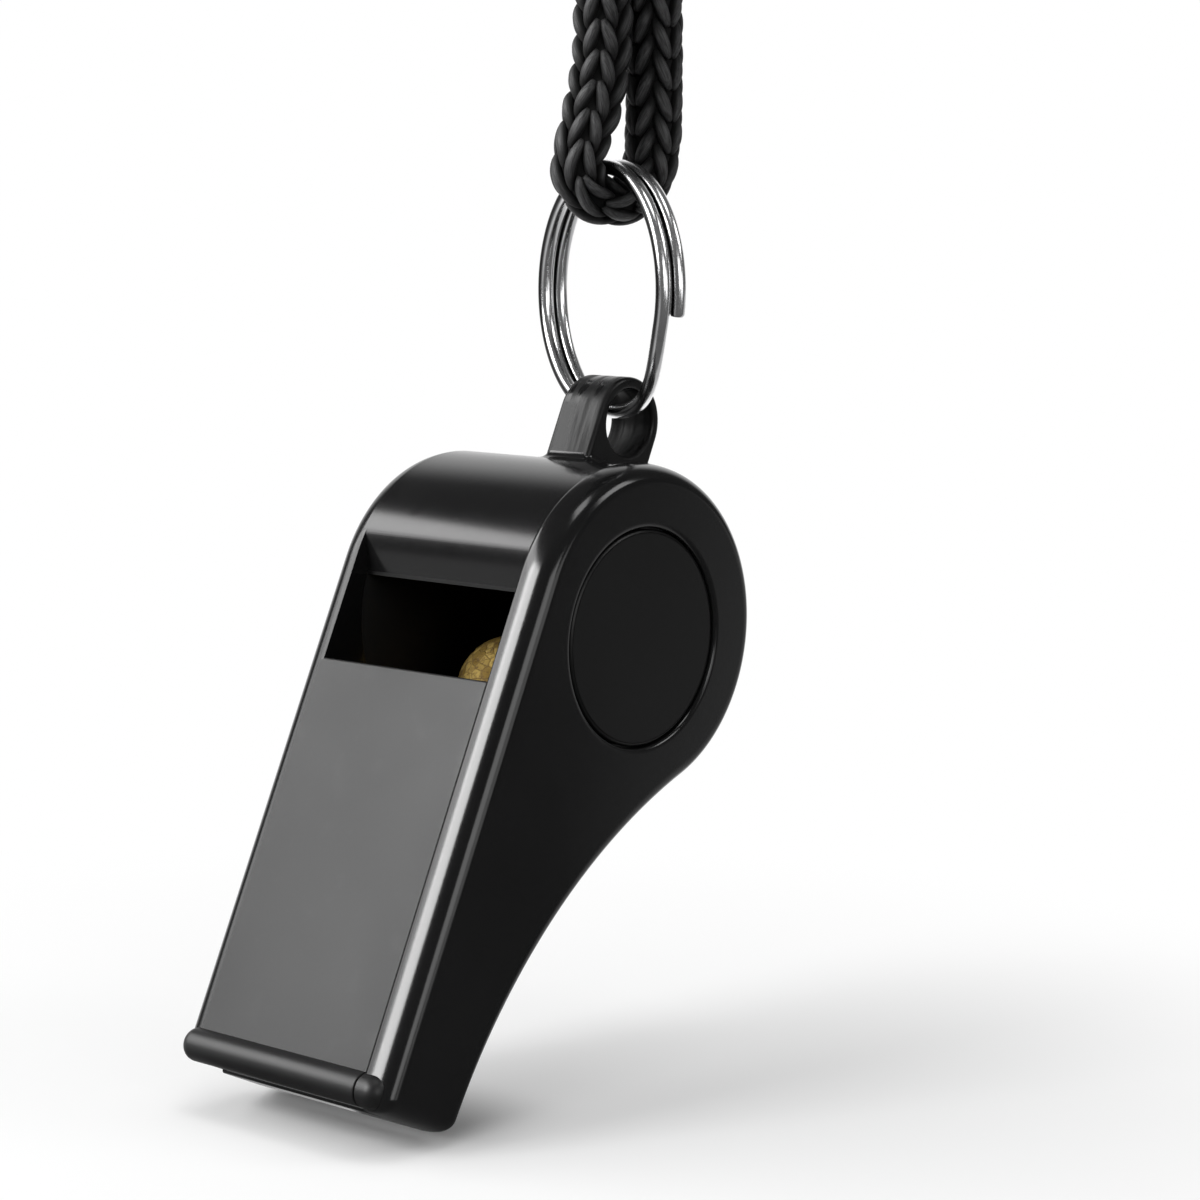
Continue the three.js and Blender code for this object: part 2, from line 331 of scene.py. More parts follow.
def outline(inset):
    """The side outline drawn in by inset, always with the same number of points."""
    barrel = BARREL_RADIUS - inset
    arch = ARCH_RADIUS + inset
    end = MOUTH_REACH - inset
    top_round = max(LIP_RADIUS - inset, MOUTH_TIGHTEST)
    low_round = max(MOUTH_LOW_ROUND - inset, MOUTH_TIGHTEST)
    top_corner = (end - top_round, barrel - top_round)
    low_x = end - low_round
    low_y = ARCH_Y + math.sqrt((arch + low_round) ** 2 - (low_x - ARCH_X) ** 2)
    toward_corner = math.atan2(low_y - ARCH_Y, low_x - ARCH_X)
    places = straight((0, barrel), (top_corner[0], barrel))
    places += arc(top_corner, top_round, math.pi / 2, 0, MOUTH_STEPS)
    places += straight((end, top_corner[1]), (end, low_y))
    places += arc((low_x, low_y), low_round, 0, toward_corner - math.pi, MOUTH_STEPS)
    places += arc((ARCH_X, ARCH_Y), arch, toward_corner, ARCH_MEETS_BARREL, ARCH_STEPS)[1:]
    places += arc((0, 0), barrel, ARCH_MEETS_BARREL - math.pi, -1.5 * math.pi, CIRCLE_STEPS)[1:]
    return places


def rim_profile(inner, outer, flush):
    """The rim's section as (drawn in, z): seam edge, a slightly domed top, then the oval corner.

    A flush rim starts level with the barrel's wall beside it.
    """
    outward = heading(inner, outer)
    seam = FLUSH_SEAM_ROUND if flush else SEAM_ROUND
    begin = RIM_PROUD if flush else 0
    corner_start = math.atan(math.tan(DOME_END) * RIM_WIDE / RIM_ROUND)
    dome_width = abs(outer - inner) - seam - RIM_WIDE * (1 - math.sin(corner_start))
    dome_radius = min(DOME_RADIUS, dome_width / math.sin(DOME_END))
    dome_start = math.asin(math.sin(DOME_END) - dome_width / dome_radius)
    section = []
    for drawn, rise in rounding(seam, SMALL_STEPS):
        section.append((begin + seam - rise, inner + outward * drawn))
    z = inner + outward * seam
    for i in range(1, EDGE_STEPS + 1):
        angle = dome_start + (DOME_END - dome_start) * i / EDGE_STEPS
        drawn = dome_radius * (math.cos(dome_start) - math.cos(angle))
        risen = dome_radius * (math.sin(angle) - math.sin(dome_start))
        section.append((begin + drawn, z + outward * risen))
    dome_drawn = section[-1][0]
    for i in range(1, RIM_STEPS + 1):
        angle = corner_start + (math.pi / 2 - corner_start) * i / RIM_STEPS
        drawn = RIM_ROUND * (math.cos(corner_start) - math.cos(angle))
        section.append((dome_drawn + drawn, outer - outward * RIM_WIDE * (1 - math.sin(angle))))
    section.append((section[-1][0] + RIM_SUPPORT, outer))
    return section


def side_plate(solid, inner, outer, flush=False):
    """A side wall with a rounded rim, and the seat for its disc."""
    outward = heading(inner, outer)
    flank = [solid.loop(at_depth(outline(drawn), z)) for drawn, z in rim_profile(inner, outer, flush)]
    seat = DISC_RADIUS + DISC_CLEARANCE
    walls = [(seat + SEAT_ROUND + SEAT_SUPPORT, outer)]
    for drawn, rise in reversed(rounding(SEAT_ROUND, SMALL_STEPS)):
        walls.append((seat + drawn, outer - outward * (SEAT_ROUND - rise)))
    walls.append((seat, outer - outward * (DISC_INSET + DISC_THICKNESS + SEAT_GAP)))
    recess = [solid.loop(at_depth(circle(radius, DISC_PLACE), z)) for radius, z in walls]
    solid.skin(flank)
    solid.skin(recess)
    solid.cap(flank[-1], recess[0])
    solid.cap(recess[-1])
    solid.cap(flank[0])


# Mouth, barrel and panel

def lip_bar(solid, seam_end, open_end, tip_shape):
    """One end of the bar along the mouth, rounded off where it shows at the side."""
    tip_long, short = tip_shape
    outward = heading(seam_end, open_end)
    centre = (MOUTH_REACH - LIP_BACK - LIP_RADIUS, BARREL_RADIUS + LIP_PROUD - LIP_RADIUS)
    tip = open_end - outward * short
    profile = [
        (LIP_RADIUS - LIP_SEAM_BEVEL, seam_end),
        (LIP_RADIUS, seam_end + outward * LIP_SEAM_BEVEL),
        (LIP_RADIUS, tip - outward * (tip_long + LIP_SUPPORT)),
    ]
    for drawn, rise in rounding(LIP_DOME, MOUTH_STEPS):
        profile.append((LIP_RADIUS - drawn, tip - outward * tip_long * (1 - rise / LIP_DOME)))
    loops = []
    for radius, z in profile:
        loops.append(solid.loop(at_depth(arc(centre, radius, 0, 2 * math.pi, LIP_STEPS)[:-1], z)))
    solid.tube(loops)


def prism(solid, places, from_z, to_z):
    """A profile carried straight across the width."""
    solid.tube([solid.loop(at_depth(places, z)) for z in (from_z, to_z)])


def barrel_profile():
    """The barrel's wall, the hollow underside and the windway's floor, as one outline."""
    arch = ARCH_RADIUS + RIM_PROUD
    ramp_angle = math.acos(LABIUM_START / SURFACE_RADIUS)
    tip_angle = math.acos(LABIUM_EDGE / CHAMBER_RADIUS)
    floor_angle = math.acos(WINDOW_MOUTH_END / CHAMBER_RADIUS)
    ramp_top = (LABIUM_START, SURFACE_RADIUS * math.sin(ramp_angle))
    tip = (LABIUM_EDGE, CHAMBER_RADIUS * math.sin(tip_angle))
    low_x = MOUTH_REACH - FLOOR_LOW_ROUND
    mouth_angle = math.acos((low_x - ARCH_X) / arch)
    low_y = ARCH_Y + arch * math.sin(mouth_angle) + FLOOR_LOW_ROUND
    mouth_x = MOUTH_REACH - WINDWAY_ROUND
    window_x = WINDOW_MOUTH_END + WINDWAY_ROUND
    round_y = WINDWAY_BOTTOM - WINDWAY_ROUND
    places = [tip] + straight(tip, ramp_top)
    places += arc((0, 0), SURFACE_RADIUS, ramp_angle + RAMP_TURN, ARCH_MEETS_BARREL + math.pi, CIRCLE_STEPS)
    places += arc((ARCH_X, ARCH_Y), arch, ARCH_MEETS_BARREL, mouth_angle, ARCH_STEPS)[1:]
    places += arc((low_x, low_y), FLOOR_LOW_ROUND, -math.pi / 2, 0, SMALL_STEPS)[1:]
    places += straight((MOUTH_REACH, low_y), (MOUTH_REACH, round_y))
    places += arc((mouth_x, round_y), WINDWAY_ROUND, 0, math.pi / 2, TINY_STEPS)
    places += straight((mouth_x, WINDWAY_BOTTOM), (window_x, WINDWAY_BOTTOM))
    places += arc((window_x, round_y), WINDWAY_ROUND, math.pi / 2, math.pi, TINY_STEPS)
    places += arc((0, 0), CHAMBER_RADIUS, floor_angle, tip_angle - 2 * math.pi, CHAMBER_STEPS)[:-1]
    return places


def panel_profile():
    """The top panel, from the window to the bar along the mouth."""
    lip_x = MOUTH_REACH - LIP_RADIUS
    near = WINDOW_MOUTH_END
    edge_x = near + PANEL_ROUND
    high_y = SURFACE_RADIUS - PANEL_ROUND
    low_y = WINDWAY_TOP + PANEL_ROUND
    places = straight((edge_x, WINDWAY_TOP), (lip_x, WINDWAY_TOP))
    places += [(lip_x, SURFACE_RADIUS)]
    places += straight((lip_x, SURFACE_RADIUS), (edge_x, SURFACE_RADIUS))
    places += arc((edge_x, high_y), PANEL_ROUND, math.pi / 2, math.pi, SMALL_STEPS)
    places += straight((near, high_y), (near, low_y))
    places += arc((edge_x, low_y), PANEL_ROUND, math.pi, 1.5 * math.pi, SMALL_STEPS)
    return places


# Lug

def lug_outline(inset):
    """The lug's D, seen as rays from its hole, so that it pairs with the hole's own points."""
    root = -(SURFACE_RADIUS + CHAMBER_RADIUS) / 2 - LUG_REACH
    half = LUG_RADIUS - inset
    places = []
    for i in range(LUG_STEPS):
        angle = 2 * math.pi * i / LUG_STEPS
        dx, dy = math.cos(angle), math.sin(angle)
        reach = half
        if dx > 0:
            reach = min(root / dx, half / abs(dy) if dy else root / dx)
        places.append((LUG_REACH + reach * dx, reach * dy))
    return places


def lug_hole(radius):
    return arc((LUG_REACH, 0), radius, 0, 2 * math.pi, LUG_STEPS)[:-1]


def lug(solid):
    """The lug's flank and its hole, each rounded off at both faces."""
    half = LUG_THICKNESS / 2
    edge = [(drawn, half - LUG_ROUND + rise) for drawn, rise in rounding(LUG_ROUND, EDGE_STEPS)]
    edge.append((LUG_ROUND + LUG_SUPPORT, half))
    brim = [(HOLE_ROUND + HOLE_SUPPORT, half)]
    for drawn, rise in reversed(rounding(HOLE_ROUND, SMALL_STEPS)):
        brim.append((drawn, half - HOLE_ROUND + rise))
    flank = [(drawn, LUG_MIDDLE - out) for drawn, out in reversed(edge)]
    flank += [(drawn, LUG_MIDDLE + out) for drawn, out in edge]
    bore = [(drawn, LUG_MIDDLE + out) for drawn, out in brim]
    bore += [(drawn, LUG_MIDDLE - out) for drawn, out in reversed(brim)]
    loops = [solid.loop(at_depth(lug_outline(drawn), z)) for drawn, z in flank]
    loops += [solid.loop(at_depth(lug_hole(LUG_HOLE_RADIUS + drawn), z)) for drawn, z in bore]
    solid.skin(loops, closed=True)


def foot_path():
    """Points (y, z) round the lug's root, each with its direction out of the lug."""
    corner_y = LUG_RADIUS - FOOT_CORNER
    corner_z = LUG_THICKNESS / 2 - FOOT_CORNER
    path = []
    for quarter, (side_y, side_z) in enumerate(((1, 1), (-1, 1), (-1, -1), (1, -1))):
        for i in range(FOOT_STEPS + 1):
            angle = math.radians(90 * quarter + 90 * i / FOOT_STEPS)
            out_y, out_z = math.cos(angle), math.sin(angle)
            y = side_y * corner_y + FOOT_CORNER * out_y
            z = side_z * corner_z + FOOT_CORNER * out_z
            path.append((y, z, out_y, out_z))
    return path


def lug_foot(solid):
    """The small hollow fillet where the lug stands on the barrel."""
    section = [(-FOOT_SUNK, -FOOT_SUNK), (FOOT_ROUND, -FOOT_SUNK), (FOOT_ROUND, 0)]
    for i in range(1, EDGE_STEPS + 1):
        angle = math.pi / 2 * i / EDGE_STEPS
        section.append((FOOT_ROUND * (1 - math.sin(angle)), FOOT_ROUND * (1 - math.cos(angle))))
    section.append((-FOOT_SUNK, FOOT_ROUND))
    loops = []
    for y, z, out_y, out_z in foot_path():
        ring = []
        for out, risen in section:
            place_y = y + out * out_y
            place_z = z + out * out_z
            surface = math.sqrt(SURFACE_RADIUS ** 2 - place_y ** 2)
            ring.append(Vector((-surface - risen, place_y, LUG_MIDDLE + place_z)))
        loops.append(solid.loop(ring))
    solid.skin(loops, closed=True)


# Whistle's pieces

def make_shell(finishes):
    """The moulded shell, with slots for the panel, the barrel, the mouth's bar and the lug."""
    solid = Solid(WHISTLE)
    prism(solid, panel_profile(), SEAM, LEFT_INSIDE + WALL_OVERLAP)
    solid.slot = 2
    lip_bar(solid, SEAM, LEFT_FACE, LEFT_TIP)
    solid.slot = 1
    prism(solid, barrel_profile(), SEAM, LEFT_INSIDE + WALL_OVERLAP)
    side_plate(solid, LEFT_INSIDE, LEFT_FACE, flush=True)
    lug_foot(solid)
    solid.slot = 3
    lug(solid)
    piece = solid.make("shell_moulding", finishes)
    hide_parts("body_shell")
    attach(piece, "whistle")


def make_cover(finishes):
    """The side cover, with slots for its wall and its end of the mouth's bar."""
    solid = Solid(WHISTLE)
    side_plate(solid, COVER_INSIDE, RIGHT_FACE)
    solid.slot = 1
    lip_bar(solid, COVER_INSIDE, RIGHT_FACE, RIGHT_TIP)
    piece = solid.make("cover_moulding", finishes)
    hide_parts("side_cover")
    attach(piece, "whistle")


DISC_RINGS = (0.97, 0.85, 0.65, 0.4, 0.15)


def make_disc(side, face, finish):
    """A plain disc let into the side whose face is given; its rings of faces keep the face smooth."""
    inward = heading(face, 0)
    outer = face + inward * DISC_INSET
    inner = outer + inward * DISC_THICKNESS
    profile = [(DISC_RADIUS - DISC_BACK_BEVEL, inner), (DISC_RADIUS, inner - inward * DISC_BACK_BEVEL)]
    for drawn, rise in rounding(DISC_ROUND, TINY_STEPS):
        profile.append((DISC_RADIUS - drawn, outer + inward * (DISC_ROUND - rise)))
    for share in DISC_RINGS:
        profile.append((DISC_RADIUS * share, outer))
    solid = Solid(WHISTLE)
    solid.tube([solid.loop(at_depth(circle(radius, DISC_PLACE), z)) for radius, z in profile])
    node = "blank_disc_" + side
    piece = solid.make("plain_disc_" + side, [finish])
    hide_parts(node)
    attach(piece, "whistle")


# Pea and ring

# The pea's faces, then its grain: scale, softness, step between octaves, octaves and depth, then its pits
PEA_SUBDIVISIONS = 6
CORK_GRAIN = 4.5
GRAIN_SOFTNESS = 0.9
GRAIN_STEP = 2.1
GRAIN_OCTAVES = 5
CORK_ROUGH = 0.006
PIT_SCALE = 11
PIT_PLACE = Vector((7, 3, 1))
PIT_START = 0.25
PIT_DEPTH = 0.09


def make_pea(finish):
    """The cork ball, with a grain and small pits pressed into its surface."""
    low, high = (Vector(corner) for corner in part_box("pea"))
    centre = (low + high) / 2
    radius = (high.z - low.z) / 2
    mesh = bpy.data.meshes.new("cork_ball")
    bm = bmesh.new()
    bmesh.ops.create_icosphere(bm, subdivisions=PEA_SUBDIVISIONS, radius=radius)
    for vert in bm.verts:
        out = vert.co.normalized()
        grain = noise.fractal(out * CORK_GRAIN, GRAIN_SOFTNESS, GRAIN_STEP, GRAIN_OCTAVES)
        pit = max(0, noise.noise(out * PIT_SCALE + PIT_PLACE) - PIT_START)
        vert.co -= out * radius * (CORK_ROUGH * (1 - grain) + PIT_DEPTH * pit)
    bm.to_mesh(mesh)
    bm.free()
    mesh.transform(Matrix.Translation(centre))
    mesh.shade_smooth()
    piece = new_object("cork_ball", mesh, finish)
    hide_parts("pea")
    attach(piece, "pea")


RING_STEPS = 720
WIRE_SIDES = 32
WIRE_SHARP = 50
END_SLOPE = 0.16
END_SLOPE_LONG = 0.12


def make_ring(finish):
    """One wire wound nearly twice round, its cut ends ground to a slight slope.

    The attribute between_turns is 1 on the wire's sides, which face the next turn, and 0 on its crests; it
    places the painted shade on those sides.
    """
    centre = RING_TOP - UP * RING_RADIUS * MM
    lean = Matrix.Rotation(RING_LEAN, 3, RING_ALONG)
    leaning_up = lean @ UP
    leaning_axis = lean @ RING_AXIS
    step_long = math.radians(RING_WOUND / RING_STEPS) * RING_RADIUS
    solid = Solid(Matrix.Identity(4))
    loops = []
    for step in range(RING_STEPS + 1):
        degrees = RING_FREE_END + RING_WOUND * step / RING_STEPS
        angle = math.radians(degrees)
        outward = RING_ALONG * math.cos(angle) + leaning_up * math.sin(angle)
        crossed = smooth((degrees - CROSSOVER[0]) / (CROSSOVER[1] - CROSSOVER[0]))
        middle = centre + (outward * RING_RADIUS + leaning_axis * (crossed - 0.5) * TURN_PITCH) * MM
        from_end = min(step, RING_STEPS - step) * step_long
        radius = WIRE_RADIUS * (1 - END_SLOPE * max(0, 1 - from_end / END_SLOPE_LONG) ** 2)
        ring = []
        for side in range(WIRE_SIDES):
            turn = 2 * math.pi * side / WIRE_SIDES
            ring.append(middle + (outward * math.cos(turn) + leaning_axis * math.sin(turn)) * radius * MM)
        loops.append(solid.loop(ring))
    solid.tube(loops)
    piece = solid.make("wound_ring", [finish], sharp=WIRE_SHARP)
    between_turns = piece.data.attributes.new("between_turns", "FLOAT", "POINT")
    for index in range(len(piece.data.vertices)):
        turn = 2 * math.pi * (index % WIRE_SIDES) / WIRE_SIDES
        between_turns.data[index].value = abs(math.sin(turn))
    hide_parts("split_ring")
    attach(piece, "ring")


# Node trees

class Socket:
    """A node's output that Python's operators work on: an expression adds its Math nodes."""

    def __init__(self, graph, output):
        self.graph = graph
        self.output = output

    def beside(self, name):
        """Another output of the same node."""
        return Socket(self.graph, self.output.node.outputs[name])

    def math(self, operation, *others):
        return self.graph.node("ShaderNodeMath", {"operation": operation}, self, *others)

    def __add__(self, other):
        return self.math("ADD", other)

    def __radd__(self, other):
        return self.math("ADD", other)

    def __sub__(self, other):
        return self.math("SUBTRACT", other)

    def __rsub__(self, other):
        return self.math("MULTIPLY_ADD", -1.0, other)

    def __mul__(self, other):
        return self.math("MULTIPLY", other)

    def __rmul__(self, other):
        return self.math("MULTIPLY", other)

    def __truediv__(self, other):
        return self.math("DIVIDE", other)

    def __rtruediv__(self, other):
        return self.graph.node("ShaderNodeMath", {"operation": "DIVIDE"}, other, self)

    def clamp(self, low, high):
        return self.math("MAXIMUM", low).math("MINIMUM", high)

    def between(self, low, high):
        """0 below low and 1 above high, smooth between them."""
        settings = {"interpolation_type": "SMOOTHSTEP"}
        return self.graph.node("ShaderNodeMapRange", settings, self, low, high, 0.0, 1.0)

    def ramp(self, start, end):
        """From start, where this is 0, straight to end, where it is 1."""
        return self.graph.node("ShaderNodeMapRange", None, self, 0.0, 1.0, start, end)


class Graph:
    """A node tree, to which node() adds any node and gives one of its outputs."""

    def __init__(self, tree):
        self.tree = tree

    def node(self, kind, settings=None, *values, output=0, **named):
        """The values go to the first inputs in order, the named ones to the inputs of those names."""
        node = self.tree.nodes.new(kind)
        for key, value in (settings or {}).items():
            setattr(node, key, value)
        for socket, value in zip(node.inputs, values):
            self.feed(socket, value)
        for key, value in named.items():
            self.feed(node.inputs[key.replace("_", " ")], value)
        return Socket(self, node.outputs[output])

    def feed(self, socket, value):
        """Links or sets an input; None leaves it as it is."""
        if isinstance(value, Socket):
            self.tree.links.new(value.output, socket)
        elif value is not None:
            socket.default_value = value

    def vector(self, operation, *values):
        return self.node("ShaderNodeVectorMath", {"operation": operation}, *values)

    def measure(self, operation, *values):
        """A vector operation that gives a number, such as LENGTH."""
        return self.node("ShaderNodeVectorMath", {"operation": operation}, *values, output="Value")

    def scaled(self, vector, factor):
        return self.node("ShaderNodeVectorMath", {"operation": "SCALE"}, vector, Scale=factor)

    def blend(self, share, low, high):
        """The shader low where share is 0, and high where it is 1."""
        return self.node("ShaderNodeMixShader", None, share, low, high)

    def rays(self):
        """Whether the camera looks, and whether a polished or a clear surface does."""
        camera = self.node("ShaderNodeLightPath", output="Is Camera Ray")
        mirror = camera.beside("Is Glossy Ray").math("MAXIMUM", camera.beside("Is Transmission Ray"))
        return camera, mirror


class Finish(Graph):
    """One material: its patterns are expressions, and surface() sets what they feed."""

    def __init__(self, name):
        self.material = bpy.data.materials.new(name)
        self.material.use_nodes = True
        super().__init__(self.material.node_tree)
        self.bsdf = self.tree.nodes["Principled BSDF"]

    def place(self):
        """Where a point is, in metres."""
        return self.node("ShaderNodeTexCoord", output="Object")

    def place_mm(self):
        return self.scaled(self.place(), 1 / MM)

    def noise(self, spot, scale, detail=3.0, roughness=0.5):
        return self.node("ShaderNodeTexNoise", None, spot, Scale=scale, Detail=detail, Roughness=roughness)

    def mix(self, share, low, high):
        """The colour low where share is 0, and high where it is 1."""
        unused = [None] * 5
        return self.node("ShaderNodeMix", {"data_type": "RGBA"}, share, *unused, low, high, output=2)

    def bump(self, height, strength, distance):
        return self.node("ShaderNodeBump", None, Strength=strength, Distance=distance * MM, Height=height)

    def surface(self, **finish):
        for key, value in finish.items():
            self.feed(self.bsdf.inputs[key.replace("_", " ")], value)
        return self.material


# Materials

WHITE = (1, 1, 1, 1)

# How far past the chamber's wall, the hole's wall and the left wall a surface still counts as hidden,
# and how softly that ends at a wall and at an end, in mm
PAST_CHAMBER = 0.15
PAST_HOLE = 0.05
PAST_LEFT_WALL = 0.2
WALL_FADE = 0.1
END_FADE = 0.2


def grey(level):
    """A very slightly cool grey."""
    return (level, level, level * 1.03, 1)


def within_tube(finish, spot, middle, radius, reach):
    """1 within a tube across the whistle's width, sized in millimetres, and 0 outside it."""
    away = finish.vector("SUBTRACT", spot, middle)
    out = finish.measure("LENGTH", finish.vector("MULTIPLY", away, (1, 0, 1)))
    along = finish.measure("LENGTH", finish.vector("MULTIPLY", away, (0, 1, 0)))
    beyond_wall = out.between((radius - WALL_FADE) * MM, radius * MM)
    beyond_end = along.between(reach * MM, (reach + END_FADE) * MM)
    return (1 - beyond_wall) * (1 - beyond_end)


def hidden_share(finish):
    """1 inside the barrel and the lug's hole, where the colour takes painted shade and the surface is
    rougher, as it comes from the mould.
    """
    spot = finish.place()
    barrel = (BARREL, CHAMBER_RADIUS + PAST_CHAMBER, LEFT_INSIDE + PAST_LEFT_WALL)
    hole = (LUG_HOLE, LUG_HOLE_RADIUS + PAST_HOLE, LUG_THICKNESS)
    in_barrel = within_tube(finish, spot, *barrel)
    in_hole = within_tube(finish, spot, *hole)
    return in_barrel.math("MAXIMUM", in_hole)


def moulded_plastic(name, level, roughness, clouding, pebble, drag=0.0, gleam=0.5):
    """Black plastic from a mould: faint flow clouding, fine pebble, a few rubbed spots, and painted shade
    inside the barrel and the lug's hole.

    Drag is the strength of the upright marks that a deep pocket of the mould leaves, gleam the
    strength of its mirror.
    """
    darker, paler, painted_inside_shade = grey(level * 0.85), grey(level * 1.2), grey(0.0015)
    upright = (0.12, 1.0, 0.06)
    fine_dulls, rubbing_shines, hiding_dulls = 0.06, 0.04, 0.5
    cloud_height, mark_height = 0.6, 6
    finish = Finish(name)
    spot = finish.place_mm()
    cloud = finish.noise(spot, scale=0.09, detail=4.0)
    fine = finish.noise(spot, scale=5.0)
    rubbed = finish.noise(spot, scale=0.55, detail=5.0, roughness=0.65).between(0.56, 0.7)
    hidden = hidden_share(finish)
    colour = finish.mix(cloud.between(0.3, 0.7), darker, paler)
    # painted shade: inside the barrel and the lug's hole the colour is darkened
    colour = finish.mix(hidden, colour, painted_inside_shade)
    shine = roughness + (cloud - 0.5) * clouding + (fine - 0.5) * fine_dulls
    shine = shine - rubbed * rubbing_shines + hidden * hiding_dulls
    height = fine * pebble + cloud * cloud_height
    if drag:
        drawn = finish.vector("MULTIPLY", spot, upright)
        marks = finish.noise(drawn, scale=1.1, roughness=0.6)
        shine = shine + (marks.between(0.35, 0.65) - 0.5) * drag
        height = height + marks * mark_height
    return finish.surface(
        Base_Color=colour,
        Roughness=shine.clamp(0.05, 0.9),
        Specular_IOR_Level=gleam,
        Normal=finish.bump(height, strength=0.25, distance=0.012),
    )


def bright_steel():
    """Plated spring wire: mirror bright, with fine mottling, dull spots, and painted shade on the wire's
    sides, between the turns and on the ring's outer faces.
    """
    bright = (0.95, 0.95, 0.96, 1)
    dulled = (0.8, 0.8, 0.81, 1)
    painted_side_shade = (0.03, 0.03, 0.03, 1)
    polish, mottle_dulls, spot_dulls = 0.17, 0.07, 0.08
    finish = Finish("bright_plated_steel")
    spot = finish.place_mm()
    mottle = finish.noise(spot, scale=9.0, roughness=0.7)
    dull = finish.noise(spot, scale=0.9, detail=4.0, roughness=0.6).between(0.5, 0.75)
    between_turns = finish.node("ShaderNodeAttribute", {"attribute_name": "between_turns"}, output=2)
    colour = finish.mix(dull, bright, dulled)
    # painted shade: the wire's sides, between the turns and on the ring's outer faces, are coloured near
    # black
    colour = finish.mix(between_turns.between(0.72, 0.97), colour, painted_side_shade)
    return finish.surface(
        Base_Color=colour,
        Metallic=1.0,
        Roughness=polish + mottle * mottle_dulls + dull * spot_dulls,
        Normal=finish.bump(mottle, strength=0.08, distance=0.01),
    )


def bare_cork():
    """Pressed cork: pale granules, darker seams between them and small specks."""
    granules = 1.5
    dark_granule = (0.3, 0.19, 0.035, 1)
    pale_granule = (0.56, 0.39, 0.1, 1)
    speck_brown = (0.17, 0.095, 0.03, 1)
    seam_brown = (0.14, 0.08, 0.03, 1)
    speck_strength, seam_strength, speck_height = 0.85, 0.6, 0.5
    finish = Finish("bare_cork")
    spot = finish.place_mm()
    grains = finish.node("ShaderNodeTexVoronoi", {"feature": "F1"}, spot, Scale=granules, output="Color")
    shade = finish.node("ShaderNodeSeparateColor", None, grains)
    seams = finish.node("ShaderNodeTexVoronoi", {"feature": "DISTANCE_TO_EDGE"}, spot, Scale=granules)
    speck = finish.noise(spot, scale=4.0, detail=5.0, roughness=0.7)
    tone = finish.mix(shade.between(0.1, 0.9), dark_granule, pale_granule)
    tone = finish.mix(speck.between(0.48, 0.66) * speck_strength, tone, speck_brown)
    tone = finish.mix((1 - seams.between(0.0, 0.09)) * seam_strength, tone, seam_brown)
    height = seams.between(0.0, 0.12) + speck * speck_height
    return finish.surface(
        Base_Color=tone,
        Roughness=0.82,
        Normal=finish.bump(height, strength=0.5, distance=0.08),
    )


def black_yarn():
    """Spun black filament: fine strands along each arm of a stitch, a little pale lint, and painted shade on
    the sides of each arm and toward its foot, where it dives under the next stitch.
    """
    along_arm = (0.5, 5.0, 5.0)
    dark, pale, painted_arm_shade, lint_grey = grey(0.008), grey(0.05), grey(0.001), grey(0.3)
    foot_shade, lint_strength = 0.9, 0.5
    sunk_roughness, crown_shines, strands_dull = 0.85, 0.4, 0.1
    finish = Finish("black_knit_yarn")
    spot = finish.place_mm()
    strand = finish.node("ShaderNodeAttribute", {"attribute_name": "strand"}, output="Vector")
    drawn = finish.vector("MULTIPLY", strand, along_arm)
    strands = finish.noise(finish.vector("ADD", drawn, spot), scale=1.3, roughness=0.6)
    lint = finish.noise(spot, scale=9.0, detail=2.0, roughness=0.8).between(0.72, 0.8)
    along = finish.node("ShaderNodeSeparateXYZ", None, strand)
    outward = along.beside("Y")
    # crown is 1 on each arm's top and falls to 0 on its sides and at its foot, which take painted shade; it
    # also sets the roughness and where lint lies
    crown = outward.between(0.1, 0.95) * (1 - along.between(0.1, 1.2) * foot_shade)
    colour = finish.mix(strands.between(0.35, 0.65), dark, pale)
    colour = finish.mix(crown, painted_arm_shade, colour)
    colour = finish.mix(lint * crown * lint_strength, colour, lint_grey)
    return finish.surface(
        Base_Color=colour,
        Roughness=sunk_roughness - crown * crown_shines + strands * strands_dull,
        Normal=finish.bump(strands, strength=0.7, distance=0.06),
    )


# Lanyard's route and stitches

# The route of the CAD cord: sideways against the ring's axis, and up from the ring's top, in mm
CORD_ROUTE = [
    (-0.5, 13.6), (-0.5, 12), (-0.51, 10), (-0.6, 7.6), (-1.02, 5), (-1.65, 2.9), (-2.2, 1.3),
    (-2.45, 0), (-2.15, -1.15), (-1.15, -2), (0.15, -2.25), (1.5, -2), (2.6, -1.15), (3.05, 0),
    (3.28, 1.5), (3.38, 3.2), (3.4, 5.2), (3.4, 7.6), (3.37, 10), (3.36, 12), (3.36, 13.6),
]
ROUTE_STEPS = 12

# The knot's strands start inside the cord's ends, and its wraps above that
STRAND_OVERLAP = 0.5
KNOT_BOTTOM = CORD_ROUTE[0][1] - STRAND_OVERLAP
WRAPS_ABOVE = 0.8
KNOT_TURNS = 3
KNOT_PITCH = 3.85
KNOT_PRESS = 0.28
KNOT_FIRST_TURN = 0.6
TUCK_SHARE = 0.45
TUCK_TURN = 0.25
STRAND_STEPS = 20
WRAP_STEPS = 32

# A stitch's arm: where it starts and how long it is, in pitches, then its turn round the cord, in
# degrees, its slant and half sizes, how it lies in the cord, and how it rounds off at both ends
STITCH_PITCH = 2.05
ARM_START = -0.6
ARM_LENGTH = 1.28
ARM_TURN = (5, 42)
ARM_SLANT = 0.52
ARM_WIDE = 0.45
ARM_DEEP = 0.46
ARM_SUNK = 0.22
ARM_DIVE = 0.4
DIVE_POWER = 2.4
ARM_DIP = 0.1
DIP_POWER = 4
ARM_BLUNT = 0.42
ARM_CUT = 0.05
ARM_STEPS = 14
ARM_SIDES = 12

